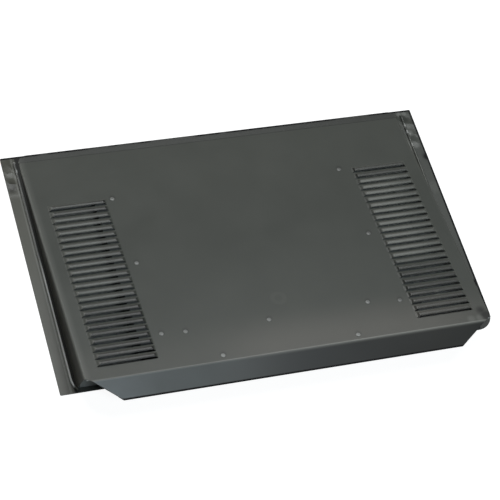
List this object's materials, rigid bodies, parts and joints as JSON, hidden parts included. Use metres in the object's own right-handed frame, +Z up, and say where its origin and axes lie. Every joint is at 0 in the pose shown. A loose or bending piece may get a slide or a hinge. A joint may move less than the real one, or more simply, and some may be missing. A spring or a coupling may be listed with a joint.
{
  "type": "tapered roof tile vent",
  "caption": "Low wedge-shaped roof vent of painted sheet steel: a flat base flashing with a sloping hood, two banks of louvres and a front apron.",
  "frame": {"origin": "middle of the vent's bounding box, on the underside of the base flashing", "axes": "+X across the roof to the right seen from below the vent, +Y up the roof slope towards the hood's flush back edge, +Z up and square to the roof"},
  "size_m": [0.667, 0.4552, 0.0558],
  "materials": {
    "painted_sheet": "satin",
    "inner_sheet": "satin"
  },
  "bodies": {
    "root": {"base_flashing": "painted_sheet", "hood": "painted_sheet", "left_baffle": "inner_sheet", "right_baffle": "inner_sheet", "front_baffle": "inner_sheet", "front_closure": "inner_sheet"}
  },
  "joints": []
}
